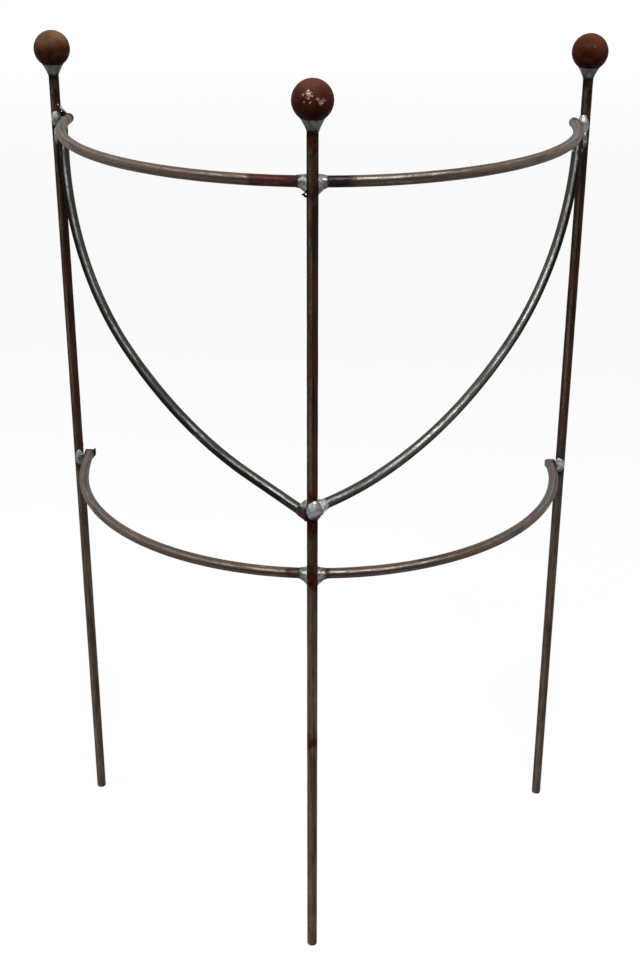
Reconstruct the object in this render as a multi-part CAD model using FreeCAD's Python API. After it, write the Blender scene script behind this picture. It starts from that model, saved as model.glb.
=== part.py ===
import FreeCAD
import Part
import math
import os

Vector = FreeCAD.Vector

# Half-round plant support of welded round bar, in millimetres.
# +X is to the right seen from the front, +Y is to the back, +Z is up.
# The origin is on the ground, under the middle of the whole support.

# bars, balls and rings
barDiameter = 10.0
ballDiameter = 35.0
ringRadius = 250.0             # centre line of both half rings
ringOverrun = 3.5              # degrees that each ring end runs on past the half circle
outerUprightBack = 2.0         # degrees past the half circle where the outer uprights stand
lowerRingHeight = 425.0
ringSpacing = 365.0
ballAboveTopRing = 68.0        # from the top ring's centre line to the balls' centres

# the curved braces: a straight top end, a tighter bend, then a wider bend
braceTopClearance = 0.2        # under the top ring
leftTopStraight = 31.0
leftUpperBendRadius = 218.0
leftUpperBendAngle = 54.0
leftLowerBendRadius = 432.0
leftLowerBendAngle = 27.0
rightTopStraight = 6.0
rightUpperBendRadius = 248.0
rightUpperBendAngle = 51.0
rightLowerBendRadius = 407.0
rightLowerBendAngle = 37.5

# weld under each ball
neckWideRadius = 9.4
neckNarrowRadius = 5.4
neckLength = 9.6
neckHollow = 0.5

# every bead: the flat at each end, as an angle on its outline
beadEndAngle = 8.0

# beads where the rings meet the outer uprights
ringBeadRadius = 4.4
ringBeadForward = 3.7          # from the upright's axis along the ring
topLeftBeadInward = 0.8
topLeftBeadHalf = 7.7
topLeftBeadRise = 1.4
topRightBeadInward = 2.0
topRightBeadHalf = 10.0
topRightBeadRise = 0.0
lowLeftBeadInward = 1.0
lowLeftBeadHalf = 9.4
lowLeftBeadRise = 4.6
lowRightBeadInward = 1.4
lowRightBeadHalf = 8.3
lowRightBeadRise = 3.2

# fillets where the rings pass behind the centre upright
crossStart = 2.0               # from the middle of the centre upright
crossWideRadius = 8.4
crossNarrowRadius = 3.8
crossLength = 13.0
crossHollow = 0.7
crossForward = 1.5
crossDrop = 2.0
crossBehind = 1.5              # how far the fillet reaches behind the ring's centre line

# beads beside the braces' top ends
braceTopBeadRadius = 2.7
braceTopBeadOut = 3.9
braceTopBeadHalf = 9.0
braceTopBeadDrop = 14.5        # below the top ring's centre line

# fillets and the front bead where the braces meet the centre upright
leftFootWideRadius = 6.8
rightFootWideRadius = 7.6
footNarrowRadius = 5.2
footLength = 12.0
footHollow = 0.4
frontBeadRadius = 5.6
frontBeadHalf = 8.4
frontBeadForward = 2.6
frontBeadAside = 0.8
frontBeadRise = 1.0

# what follows from the values above
barRadius = barDiameter / 2
ballRadius = ballDiameter / 2
uprightRadius = ringRadius + barDiameter
topRingHeight = lowerRingHeight + ringSpacing
ballHeight = topRingHeight + ballAboveTopRing
ballFlatDepth = math.sqrt(ballRadius ** 2 - barRadius ** 2)
uprightLength = ballHeight - ballFlatDepth
backAngle = math.radians(outerUprightBack)
overrunAngle = math.radians(ringOverrun)
frontmost = -(uprightRadius + ballRadius)
ballRearmost = uprightRadius * math.sin(backAngle) + ballRadius
ringRearmost = (ringRadius + barRadius) * math.sin(overrunAngle)
ringCentreY = -(frontmost + max(ballRearmost, ringRearmost)) / 2


def ringPoint(radius, angle, height):
    return Vector(radius * math.cos(angle), ringCentreY + radius * math.sin(angle), height)


uprightFeet = {
    "left": ringPoint(uprightRadius, math.pi - backAngle, 0.0),
    "centre": ringPoint(uprightRadius, -math.pi / 2, 0.0),
    "right": ringPoint(uprightRadius, backAngle, 0.0),
}


def makeUpright(foot):
    return Part.makeCylinder(barRadius, uprightLength, foot, Vector(0, 0, 1))


def makeBall(foot):
    # a solid ball with a small flat under it, as wide as the bar that it sits on
    centre = foot + Vector(0, 0, ballHeight)
    ball = Part.makeSphere(ballRadius, centre)
    below = Part.makeCylinder(ballRadius, ballRadius, foot + Vector(0, 0, uprightLength - ballRadius))
    return ball.cut(below)


def makeHalfRing(height):
    # the bar's end face is turned about the ring's axis from one end to the other
    startAngle = -math.pi - overrunAngle
    start = ringPoint(ringRadius, startAngle, height)
    along = Vector(-math.sin(startAngle), math.cos(startAngle), 0)
    face = Part.Face(Part.Wire(Part.Circle(start, along, barRadius).toShape()))
    turn = 180 + 2 * ringOverrun
    return face.revolve(Vector(0, ringCentreY, height), Vector(0, 0, 1), turn)


def planDirection(side):
    # from the outer upright to the centre upright
    step = uprightFeet["centre"] - uprightFeet[side]
    return step.normalize()


def bracePath(side, straight, upperRadius, upperAngle, lowerRadius, lowerAngle):
    # the brace's centre line, in the upright plane through both uprights' axes
    foot = uprightFeet[side]
    along = planDirection(side)
    reach = (uprightFeet["centre"] - foot).Length

    def place(out, height):
        return foot + along * out + Vector(0, 0, height)

    top = topRingHeight - barRadius - braceTopClearance
    out = barDiameter
    height = top - straight
    edges = [Part.LineSegment(place(out, top), place(out, height)).toShape()]
    heading = 0.0
    for radius, degrees in ((upperRadius, upperAngle), (lowerRadius, lowerAngle)):
        marks = []
        for share in (0.0, 0.5, 1.0):
            angle = heading + share * math.radians(degrees)
            markOut = out + radius * (math.cos(heading) - math.cos(angle))
            markHeight = height - radius * (math.sin(angle) - math.sin(heading))
            marks.append((markOut, markHeight))
        edges.append(Part.Arc(*[place(*mark) for mark in marks]).toShape())
        heading += math.radians(degrees)
        out, height = marks[-1]
    # the last stretch runs straight on to the centre upright's axis, where it is trimmed
    rest = (reach - out) / math.sin(heading)
    endHeight = height - rest * math.cos(heading)
    edges.append(Part.LineSegment(place(out, height), place(reach, endHeight)).toShape())
    arriving = along * math.sin(heading) - Vector(0, 0, math.cos(heading))
    return edges, place(barDiameter, top), place(reach, endHeight), arriving


def makeBrace(path, centreUpright):
    edges, top, end, arriving = path
    profile = Part.Wire(Part.Circle(top, Vector(0, 0, -1), barRadius).toShape())
    bar = Part.Wire(edges).makePipeShell([profile], True, True)
    return bar.cut(centreUpright)


def turned(shape, origin, direction, seamSide):
    # shapes are drawn along X with their seam on the Y side, and then turned into place
    across = direction.cross(seamSide)
    turn = FreeCAD.Rotation(direction, across.cross(direction), across, "XZY")
    shape.Placement = FreeCAD.Placement(origin, turn)
    return shape


def makeFlare(origin, direction, seamSide, wideRadius, narrowRadius, length, hollow, boreRadius=0):
    # a collar of weld metal that narrows along its axis with a hollow flank, round a straight bar
    # where it has a bore
    middle = (wideRadius + narrowRadius) / 2 - hollow
    wideEnd = Vector(0, wideRadius, 0)
    narrowEnd = Vector(length, narrowRadius, 0)
    flank = Part.Arc(wideEnd, Vector(length / 2, middle, 0), narrowEnd).toShape()
    lines = [
        Part.LineSegment(Vector(0, boreRadius, 0), wideEnd).toShape(),
        flank,
        Part.LineSegment(narrowEnd, Vector(length, boreRadius, 0)).toShape(),
        Part.LineSegment(Vector(length, boreRadius, 0), Vector(0, boreRadius, 0)).toShape(),
    ]
    solid = Part.Face(Part.Wire(lines)).revolve(Vector(0, 0, 0), Vector(1, 0, 0), 360)
    return turned(solid, origin, direction, seamSide)


def makeBead(centre, halfLength, radius, seamSide):
    # an upright rounded bead, taller than it is wide, with a small flat at each end;
    # two half turns make it, so that no edge is its own seam
    ellipse = Part.Ellipse(Vector(0, 0, 0), halfLength, radius)
    endAngle = math.radians(beadEndAngle)
    arc = Part.Arc(ellipse, endAngle, math.pi - endAngle).toShape()
    first, last = arc.Vertexes[0].Point, arc.Vertexes[1].Point
    inner = Part.makePolygon([first, Vector(first.x, 0, 0), Vector(last.x, 0, 0), last])
    section = Part.Face(Part.Wire([arc] + inner.Edges))
    halves = [section.revolve(Vector(0, 0, 0), Vector(1, 0, 0), turn) for turn in (180, -180)]
    return turned(halves[0].fuse(halves[1]), centre, Vector(0, 0, 1), seamSide)


def trimmed(shape, neighbours):
    # weld metal fills only the space that its neighbours leave; loose slivers go
    rest = shape.cut(neighbours)
    return max(rest.Solids, key=lambda solid: solid.Volume)


nodes = {}
for side, foot in uprightFeet.items():
    nodes[side + "_upright"] = makeUpright(foot)
    nodes[side + "_ball"] = makeBall(foot)

ringHeights = {"top": topRingHeight, "lower": lowerRingHeight}
for level, height in ringHeights.items():
    nodes[level + "_half_ring"] = makeHalfRing(height)

bracePaths = {
    "left": bracePath("left", leftTopStraight, leftUpperBendRadius, leftUpperBendAngle,
                      leftLowerBendRadius, leftLowerBendAngle),
    "right": bracePath("right", rightTopStraight, rightUpperBendRadius, rightUpperBendAngle,
                       rightLowerBendRadius, rightLowerBendAngle),
}
for side, path in bracePaths.items():
    nodes[side + "_brace"] = makeBrace(path, nodes["centre_upright"])

# a collar under each ball
for side, foot in uprightFeet.items():
    neckTop = ballHeight - math.sqrt(ballRadius ** 2 - neckWideRadius ** 2)
    neck = makeFlare(foot + Vector(0, 0, neckTop), Vector(0, 0, -1), Vector(0, 1, 0),
                     neckWideRadius, neckNarrowRadius, neckLength, neckHollow)
    neighbours = [nodes[side + "_upright"], nodes[side + "_ball"]]
    nodes[side + "_neck_weld"] = trimmed(neck, neighbours)

# a bead in front of each outer upright where a ring passes inside it
ringBeads = {
    ("left", "top"): (topLeftBeadInward, topLeftBeadHalf, topLeftBeadRise),
    ("right", "top"): (topRightBeadInward, topRightBeadHalf, topRightBeadRise),
    ("left", "lower"): (lowLeftBeadInward, lowLeftBeadHalf, lowLeftBeadRise),
    ("right", "lower"): (lowRightBeadInward, lowRightBeadHalf, lowRightBeadRise),
}
for (side, level), (inward, half, rise) in ringBeads.items():
    mirror = 1 if side == "right" else -1
    outDirection = Vector(mirror * math.cos(backAngle), math.sin(backAngle), 0)
    frontDirection = Vector(mirror * math.sin(backAngle), -math.cos(backAngle), 0)
    offset = frontDirection * ringBeadForward - outDirection * inward
    centre = uprightFeet[side] + offset + Vector(0, 0, ringHeights[level] + rise)
    bead = makeBead(centre, half, ringBeadRadius, offset * -1)
    neighbours = [nodes[side + "_upright"], nodes[level + "_half_ring"], nodes[side + "_brace"]]
    nodes[side + "_" + level + "_ring_weld"] = trimmed(bead, neighbours)

# a fillet on each side of the centre upright, in front of each ring
for level, height in ringHeights.items():
    ringFront = uprightFeet["centre"] + Vector(0, barDiameter, height)
    behind = Part.makeBox(200, 50, 100, ringFront + Vector(-100, crossBehind, -50))
    for side, mirror in (("left", -1), ("right", 1)):
        origin = ringFront + Vector(mirror * crossStart, -crossForward, -crossDrop)
        fillet = makeFlare(origin, Vector(mirror, 0, 0), Vector(0, 1, 0), crossWideRadius,
                           crossNarrowRadius, crossLength, crossHollow)
        neighbours = [nodes["centre_upright"], nodes[level + "_half_ring"], behind]
        nodes["centre_" + level + "_" + side + "_weld"] = trimmed(fillet, neighbours)

# a bead in the outer groove between each brace's top end and its upright
for side, path in bracePaths.items():
    along = planDirection(side)
    outward = along.cross(Vector(0, 0, 1))
    if side == "right":
        outward = outward * -1
    centre = uprightFeet[side] + along * barRadius + outward * braceTopBeadOut
    centre = centre + Vector(0, 0, topRingHeight - braceTopBeadDrop)
    bead = makeBead(centre, braceTopBeadHalf, braceTopBeadRadius, outward)
    neighbours = [nodes[side + "_upright"], nodes[side + "_brace"], nodes["top_half_ring"],
                  nodes[side + "_top_ring_weld"]]
    nodes[side + "_brace_top_weld"] = trimmed(bead, neighbours)

# a collar round each brace's lower end, and the large bead on the centre upright's front
leftEnd, leftArriving = bracePaths["left"][2:]
leftCollar = makeFlare(leftEnd, leftArriving * -1, Vector(0, 0, 1), leftFootWideRadius,
                       footNarrowRadius, footLength, footHollow, barRadius)
neighbours = [nodes["centre_upright"], nodes["right_brace"]]
nodes["left_brace_foot_weld"] = trimmed(leftCollar, neighbours)

rightEnd, rightArriving = bracePaths["right"][2:]
rightCollar = makeFlare(rightEnd, rightArriving * -1, Vector(0, 0, 1), rightFootWideRadius,
                        footNarrowRadius, footLength, footHollow, barRadius)
frontCentre = rightEnd + Vector(frontBeadAside, -frontBeadForward, frontBeadRise)
frontBead = makeBead(frontCentre, frontBeadHalf, frontBeadRadius, Vector(0, 1, 0))
neighbours = [nodes["centre_upright"], nodes["left_brace"], nodes["right_brace"], nodes["left_brace_foot_weld"]]
nodes["right_brace_foot_weld"] = trimmed(rightCollar.fuse(frontBead), neighbours)

os.makedirs("parts", exist_ok=True)
for name, shape in nodes.items():
    shape.exportStep("parts/" + name + ".step")
    box = shape.BoundBox
    print("%-26s solids %d valid %s volume %9.1f  x %7.1f %7.1f  y %7.1f %7.1f  z %6.1f %6.1f" % (
        name, len(shape.Solids), shape.isValid(), shape.Volume,
        box.XMin, box.XMax, box.YMin, box.YMax, box.ZMin, box.ZMax))
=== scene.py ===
import math

import bpy
import numpy as np
from mathutils import Matrix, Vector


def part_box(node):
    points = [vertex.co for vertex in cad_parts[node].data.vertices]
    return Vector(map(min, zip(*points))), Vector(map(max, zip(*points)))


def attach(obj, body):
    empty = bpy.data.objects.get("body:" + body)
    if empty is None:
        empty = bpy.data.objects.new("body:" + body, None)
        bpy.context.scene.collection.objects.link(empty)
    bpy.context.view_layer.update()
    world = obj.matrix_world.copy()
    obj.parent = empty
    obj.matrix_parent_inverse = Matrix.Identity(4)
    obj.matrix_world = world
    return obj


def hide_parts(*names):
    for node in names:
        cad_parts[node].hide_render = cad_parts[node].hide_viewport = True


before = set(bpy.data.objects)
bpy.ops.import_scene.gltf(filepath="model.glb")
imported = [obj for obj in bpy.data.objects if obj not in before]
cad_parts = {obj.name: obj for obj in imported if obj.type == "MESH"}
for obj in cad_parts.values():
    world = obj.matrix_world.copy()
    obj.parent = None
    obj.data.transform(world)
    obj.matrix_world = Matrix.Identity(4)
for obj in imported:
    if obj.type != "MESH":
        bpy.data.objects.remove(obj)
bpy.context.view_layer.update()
print("frame loaded:", len(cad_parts), "nodes")


# camera at the photograph's angle

photoCamera = {
    "place": (0.03284, -1.36673, 1.07530),
    "lookDown": 0.42057,       # radians below the horizon
    "turn": -0.02111,          # radians to the right of straight ahead
    "roll": 0.00287,
    "focalPixels": 1512.38,
    "longSidePixels": 960,
    "sensorWidth": 36.0,
}


def placeHolder(holder, place, right, upward, back):
    # a camera or lamp at its place, turned so that its own axes lie along the three directions
    turned = np.eye(4)
    turned[:3] = np.stack([right, upward, back, place], -1)
    holder.matrix_world = Matrix(turned.tolist())
    bpy.context.scene.collection.objects.link(holder)


def makePhotoCamera(setting):
    down, turn, roll = setting["lookDown"], setting["turn"], setting["roll"]
    ahead = np.array([math.sin(turn) * math.cos(down), math.cos(turn) * math.cos(down), -math.sin(down)])
    level = np.array([math.cos(turn), -math.sin(turn), 0.0])
    rising = np.cross(level, ahead)
    right = math.cos(roll) * level + math.sin(roll) * rising
    upward = math.cos(roll) * rising - math.sin(roll) * level
    lens = bpy.data.cameras.new("photo_camera")
    lens.sensor_width = setting["sensorWidth"]
    lens.lens = setting["sensorWidth"] * setting["focalPixels"] / setting["longSidePixels"]
    camera = bpy.data.objects.new("photo_camera", lens)
    placeHolder(camera, setting["place"], right, upward, -ahead)
    bpy.context.scene.camera = camera


makePhotoCamera(photoCamera)
print("camera placed")


# floor, surroundings and lamps

studio = {
    "floorRadius": 14.0,
    "floorColour": (0.30, 0.30, 0.30),
    "floorGlow": (0.76, 0.92),  # near the origin and far away, where the camera or a reflection sees it
    "glowReach": (0.6, 6.0),    # metres from the origin
    "ambient": 0.27,
    "lamps": {
        "top_light": {"place": (0.1, -1.0, 2.55), "aim": (0.0, 0.0, 0.5), "size": (0.7, 0.45), "watts": 45},
        "left_light": {"place": (-2.4, -0.7, 1.5), "aim": (0.0, 0.0, 0.5), "size": (0.5, 1.2), "watts": 20},
        "right_light": {"place": (2.3, -1.2, 1.4), "aim": (0.0, 0.0, 0.5), "size": (0.5, 1.2), "watts": 14},
    },
}


def seenWhite(tree):
    # 1 where the ray comes from the camera, a reflection or through glass, else 0
    path = tree.nodes.new("ShaderNodeLightPath")
    seen = path.outputs["Is Camera Ray"]
    for kind in ("Is Glossy Ray", "Is Transmission Ray"):
        larger = tree.nodes.new("ShaderNodeMath")
        larger.operation = "MAXIMUM"
        tree.links.new(seen, larger.inputs[0])
        tree.links.new(path.outputs[kind], larger.inputs[1])
        seen = larger.outputs[0]
    return seen


def makeWorld(setting):
    world = bpy.data.worlds.new("studio")
    world.use_nodes = True
    tree = world.node_tree
    background = tree.nodes["Background"]
    background.inputs["Color"].default_value = (1, 1, 1, 1)
    strength = tree.nodes.new("ShaderNodeMapRange")
    strength.inputs["To Min"].default_value = setting["ambient"]
    strength.inputs["To Max"].default_value = 1.0
    tree.links.new(seenWhite(tree), strength.inputs["Value"])
    tree.links.new(strength.outputs["Result"], background.inputs["Strength"])
    bpy.context.scene.world = world


def makeFloor(setting):
    # a flat disc: radius times the cosine and sine of the angle
    angles = np.linspace(0, 2 * np.pi, 96, endpoint=False)
    rim = np.stack([np.cos(angles), np.sin(angles), 0 * angles], -1) * setting["floorRadius"]
    mesh = bpy.data.meshes.new("studio_floor")
    mesh.from_pydata(rim.tolist(), [], [list(range(len(angles)))])
    floor = bpy.data.objects.new("studio_floor", mesh)
    bpy.context.scene.collection.objects.link(floor)
    paint = bpy.data.materials.new("studioFloor")
    paint.use_nodes = True
    tree = paint.node_tree
    shader = tree.nodes["Principled BSDF"]
    shader.inputs["Base Color"].default_value = (*setting["floorColour"], 1)
    shader.inputs["Roughness"].default_value = 1.0
    shader.inputs["Specular IOR Level"].default_value = 0.0
    shader.inputs["Emission Color"].default_value = (1, 1, 1, 1)
    away = tree.nodes.new("ShaderNodeVectorMath")
    away.operation = "LENGTH"
    tree.links.new(tree.nodes.new("ShaderNodeTexCoord").outputs["Object"], away.inputs[0])
    strength = tree.nodes.new("ShaderNodeMapRange")
    limits = setting["glowReach"] + setting["floorGlow"]
    for key, limit in zip(("From Min", "From Max", "To Min", "To Max"), limits):
        strength.inputs[key].default_value = limit
    tree.links.new(away.outputs["Value"], strength.inputs["Value"])
    glow = tree.nodes.new("ShaderNodeMath")
    glow.operation = "MULTIPLY"
    tree.links.new(seenWhite(tree), glow.inputs[0])
    tree.links.new(strength.outputs["Result"], glow.inputs[1])
    tree.links.new(glow.outputs[0], shader.inputs["Emission Strength"])
    mesh.materials.append(paint)


def makeLamps(setting):
    for name, lamp in setting["lamps"].items():
        light = bpy.data.lights.new(name, "AREA")
        light.shape = "RECTANGLE"
        light.size, light.size_y = lamp["size"]
        light.energy = lamp["watts"]
        holder = bpy.data.objects.new(name, light)
        place, aim = np.array(lamp["place"]), np.array(lamp["aim"])
        back = (place - aim) / np.linalg.norm(place - aim)
        side = np.cross([0.0, 0.0, 1.0], back)
        side = side / np.linalg.norm(side)
        placeHolder(holder, place, side, np.cross(back, side), back)


bpy.context.scene.view_settings.view_transform = "Standard"
makeWorld(studio)
makeFloor(studio)
makeLamps(studio)
print("studio lit")


# sizes of the support, from the frame

def nodeBox(node):
    low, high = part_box(node)
    return np.array(low), np.array(high)


def measureSupport():
    low, high = nodeBox("left_upright")
    size = {"barRadius": round((high[0] - low[0]) / 2, 4), "uprightTop": high[2]}
    size["feet"] = {}
    for side in ("left", "centre", "right"):
        low, high = nodeBox(side + "_upright")
        size["feet"][side] = np.array([(low[0] + high[0]) / 2, (low[1] + high[1]) / 2, 0.0])
    low, high = nodeBox("centre_ball")
    size["ballRadius"] = (high[0] - low[0]) / 2
    size["ballHeight"] = high[2] - size["ballRadius"]
    low, high = nodeBox("top_half_ring")
    size["ringRadius"] = (high[0] - low[0]) / 2 - size["barRadius"]
    size["ringCentreY"] = low[1] + size["ringRadius"] + size["barRadius"]
    past = (high[1] - size["ringCentreY"]) / (size["ringRadius"] + size["barRadius"])
    size["ringOverrun"] = math.asin(past)
    size["ringHeights"] = {}
    for level in ("top", "lower"):
        low, high = nodeBox(level + "_half_ring")
        size["ringHeights"][level] = (low[2] + high[2]) / 2
    return size


size = measureSupport()
up = np.array([0, 0, 1.0])
print("bar radius %.1f mm, ring radius %.1f mm" % (size["barRadius"] * 1000, size["ringRadius"] * 1000))


# surfaces on grids

def wobble(points, wavelength, seed, waves=28):
    # smooth noise, mostly between -1 and 1: the sum of plane sine waves in random directions
    draw = np.random.default_rng(seed)
    directions = draw.normal(size=(waves, 3))
    directions = directions / np.linalg.norm(directions, axis=1, keepdims=True)
    lengths = wavelength * draw.uniform(0.6, 1.7, (waves, 1))
    phases = draw.uniform(0, 2 * np.pi, waves)
    angles = points @ (directions / lengths * 2 * np.pi).T + phases
    return np.sin(angles).sum(-1) / math.sqrt(waves)


def smoothStep(share):
    share = np.clip(share, 0, 1)
    return share * share * (3 - 2 * share)


def insideOut(points, triangles):
    # the sum of each triangle's corner products is six times the volume, and negative if inside out
    a, b, c = (points[triangles[:, corner]] for corner in range(3))
    return np.einsum("ij,ij->", a, np.cross(b, c)) < 0


def closeGrid(grid, firstPole, lastPole):
    # rows and columns of points; each row closes on itself, and a fan to a pole closes each end
    rows, columns = grid.shape[:2]
    order = np.arange(rows * columns).reshape(rows, columns)
    after = np.roll(order, -1, axis=1)
    quads = np.stack([order[:-1], after[:-1], after[1:], order[1:]], -1).reshape(-1, 4)
    poles = np.full((2, columns), [[rows * columns], [rows * columns + 1]])
    firstFan = np.stack([poles[0], after[0], order[0]], -1)
    lastFan = np.stack([poles[1], order[-1], after[-1]], -1)
    fans = np.concatenate([firstFan, lastFan])
    points = np.concatenate([grid.reshape(-1, 3), [firstPole], [lastPole]])
    triangles = np.concatenate([quads[:, :3], quads[:, [0, 2, 3]], fans])
    if insideOut(points - points.mean(0), triangles):
        quads, fans = quads[:, ::-1], fans[:, ::-1]
    return points, quads, fans


def makeSurface(name, shells):
    # one mesh of closed shells, each with its grid, its two poles and its marks
    points, faces, marks, used = [], [], {}, 0
    for grid, firstPole, lastPole, shellMarks in shells:
        shellPoints, quads, fans = closeGrid(grid, firstPole, lastPole)
        points.append(shellPoints)
        faces += (quads + used).tolist() + (fans + used).tolist()
        used += len(shellPoints)
        for key, values in shellMarks.items():
            atPoles = np.stack([values[0].mean(0), values[-1].mean(0)])
            flat = np.concatenate([values.reshape(grid.shape[0] * grid.shape[1], -1), atPoles.reshape(2, -1)])
            marks.setdefault(key, []).append(flat)
    mesh = bpy.data.meshes.new(name)
    mesh.from_pydata(np.concatenate(points), [], faces)
    mesh.polygons.foreach_set("use_smooth", np.ones(len(mesh.polygons), bool))
    for key, parts in marks.items():
        flat = np.concatenate(parts).astype(np.float32)
        kind, field = ("FLOAT", "value") if flat.shape[1] == 1 else ("FLOAT_VECTOR", "vector")
        mesh.attributes.new(key, kind, "POINT").data.foreach_set(field, flat.ravel())
    mesh.update()
    piece = bpy.data.objects.new(name, mesh)
    bpy.context.scene.collection.objects.link(piece)
    return piece


def addPiece(name, shells, material, slotName, *nodes):
    piece = makeSurface(name, shells)
    piece.data.materials.append(material)
    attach(piece, "root")
    if nodes:
        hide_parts(*nodes)


# node helpers for the finishes

class Finish:
    # one material's node tree, with short ways to add what the finishes share

    def __init__(self, name):
        self.material = bpy.data.materials.new(name)
        self.material.use_nodes = True
        self.tree = self.material.node_tree
        self.shader = self.tree.nodes["Principled BSDF"]

    def node(self, kind, **settings):
        made = self.tree.nodes.new(kind)
        for key, value in settings.items():
            setattr(made, key, value)
        return made

    def link(self, output, target):
        self.tree.links.new(output, target)

    def mark(self, name, vector=False):
        read = self.node("ShaderNodeAttribute", attribute_type="GEOMETRY", attribute_name=name)
        return read.outputs["Vector" if vector else "Fac"]

    def place(self):
        return self.node("ShaderNodeTexCoord").outputs["Object"]

    def noise(self, source, scale, detail=3.0, roughness=0.55):
        texture = self.node("ShaderNodeTexNoise")
        texture.inputs["Scale"].default_value = scale
        texture.inputs["Detail"].default_value = detail
        texture.inputs["Roughness"].default_value = roughness
        self.link(source, texture.inputs["Vector"])
        return texture.outputs["Fac"]

    def drawn(self, source, squeeze, scale, detail=3.0, roughness=0.55):
        # noise that is drawn out along the bar
        mapping = self.node("ShaderNodeMapping")
        mapping.inputs["Scale"].default_value = (1, 1, squeeze)
        self.link(source, mapping.inputs["Vector"])
        return self.noise(mapping.outputs["Vector"], scale, detail, roughness)

    def ranged(self, value, low, high, toLow=0.0, toHigh=1.0):
        spread = self.node("ShaderNodeMapRange", interpolation_type="SMOOTHSTEP")
        for key, number in (("From Min", low), ("From Max", high), ("To Min", toLow), ("To Max", toHigh)):
            spread.inputs[key].default_value = number
        self.link(value, spread.inputs["Value"])
        return spread.outputs["Result"]

    def math(self, operation, first, second):
        step = self.node("ShaderNodeMath", operation=operation)
        for socket, value in zip(step.inputs, (first, second)):
            if isinstance(value, (int, float)):
                socket.default_value = value
            else:
                self.link(value, socket)
        return step.outputs[0]

    def blend(self, share, first, second):
        mix = self.node("ShaderNodeMix", data_type="RGBA")
        for socket, value in ((mix.inputs[0], share), (mix.inputs[6], first), (mix.inputs[7], second)):
            if isinstance(value, tuple):
                socket.default_value = (*value, 1)
            elif isinstance(value, float):
                socket.default_value = value
            else:
                self.link(value, socket)
        return mix.outputs[2]

    def over(self, colour, value, low, high, most, second):
        # the second colour over the first: none of it where the value is low, most where it is high
        return self.blend(self.ranged(value, low, high, 0.0, most), colour, second)

    def bump(self, height, depth, under=None):
        bump = self.node("ShaderNodeBump")
        bump.inputs["Distance"].default_value = depth
        self.link(height, bump.inputs["Height"])
        if under is not None:
            self.link(under, bump.inputs["Normal"])
        return bump.outputs["Normal"]

    def close(self, colour, rough, metal, gloss, normal):
        ends = {"Base Color": colour, "Roughness": rough, "Metallic": metal, "Normal": normal}
        for key, output in ends.items():
            self.link(output, self.shader.inputs[key])
        self.shader.inputs["Specular IOR Level"].default_value = gloss
        return self.material


def barSteel(name, look):
    # hot-rolled bar: dark scale with brown bloom, paler where the pale mark is high, painted shade along
    # the shade mark, drawn streaks, a painted highlight of bare metal along the shine mark mixed with real
    # scuffs rubbed bare, rust and weld heat
    finish = Finish(name)
    barSpace = finish.mark("barSpace", vector=True)
    clouds = finish.drawn(barSpace, 0.35, 55, 4)
    colour = finish.blend(finish.ranged(clouds, 0.36, 0.60), look["scale"], look["bloom"])
    patchy = finish.ranged(finish.drawn(barSpace, 0.4, 90, 4), 0.3, 0.7, 0.5, 1.0)
    colour = finish.blend(finish.math("MULTIPLY", finish.mark("pale"), patchy), colour, look["pale"])
    streaks = finish.drawn(barSpace, 0.02, 800, 4)
    colour = finish.over(colour, streaks, 0.48, 0.68, 0.75, look["dark"])
    tinted = finish.drawn(barSpace, 0.10, 240)
    colour = finish.over(colour, tinted, 0.54, 0.64, look["tintShare"], look["tint"])
    colour = finish.over(colour, finish.noise(barSpace, 900), 0.54, 0.72, 0.7, look["dark"])
    # painted shade: darker along the shade mark
    colour = finish.over(colour, finish.mark("shade"), 0.0, 1.0, look["shaded"], look["dark"])
    scuffs = finish.drawn(barSpace, 0.12, 130, 5, 0.65)
    fine = finish.ranged(finish.drawn(barSpace, 0.12, 1500), 0.30, 0.55)
    highlightAndWear = finish.math("MULTIPLY", fine, finish.ranged(scuffs, 0.36, 0.58, 0.1, 1.0))
    scuffed = finish.ranged(scuffs, 0.58, 0.74, 0.0, look["scuffed"])
    # painted highlight: bare-metal colour along the shine mark, together with real scuffs
    shine = finish.math("MAXIMUM", finish.mark("shine"), scuffed)
    highlightAndWear = finish.math("MULTIPLY", highlightAndWear, finish.math("MULTIPLY", shine, look["wearAndPaintedLight"]))
    colour = finish.blend(highlightAndWear, colour, look["bare"])
    scorch = finish.mark("scorch")
    colour = finish.over(colour, scorch, 0.08, 0.36, 0.85, look["heatBrown"])
    colour = finish.over(colour, scorch, 0.36, 0.85, 0.92, look["heatBlack"])
    # the painted highlight shows faintly again over the weld heat
    colour = finish.blend(finish.math("MULTIPLY", highlightAndWear, 0.25), colour, look["bare"])
    rust = finish.mark("rust")
    patches = finish.ranged(finish.noise(barSpace, 190, 4), 0.35, 0.65)
    rustColour = finish.blend(patches, look["rustDeep"], look["rustBright"])
    colour = finish.over(colour, rust, 0.0, 0.9, 0.9, rustColour)
    dulled = finish.math("MAXIMUM", rust, scorch)
    rough = finish.ranged(scuffs, 0.3, 0.7, look["roughest"], look["smoothest"])
    rough = finish.math("SUBTRACT", rough, finish.math("MULTIPLY", highlightAndWear, 0.16))
    rough = finish.math("ADD", rough, finish.math("MULTIPLY", dulled, 0.30))
    metal = finish.math("ADD", look["metallic"], finish.math("MULTIPLY", highlightAndWear, 0.7))
    dull = finish.math("SUBTRACT", 1.0, finish.math("MULTIPLY", dulled, 0.9))
    metal = finish.math("MULTIPLY", metal, dull)
    pits = finish.ranged(finish.noise(barSpace, 620, 5, 0.6), 0.35, 0.62)
    normal = finish.bump(streaks, 0.00012)
    normal = finish.bump(pits, 0.00016, normal)
    normal = finish.bump(clouds, 0.0005, normal)
    return finish.close(colour, rough, metal, look["gloss"], normal)


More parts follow.
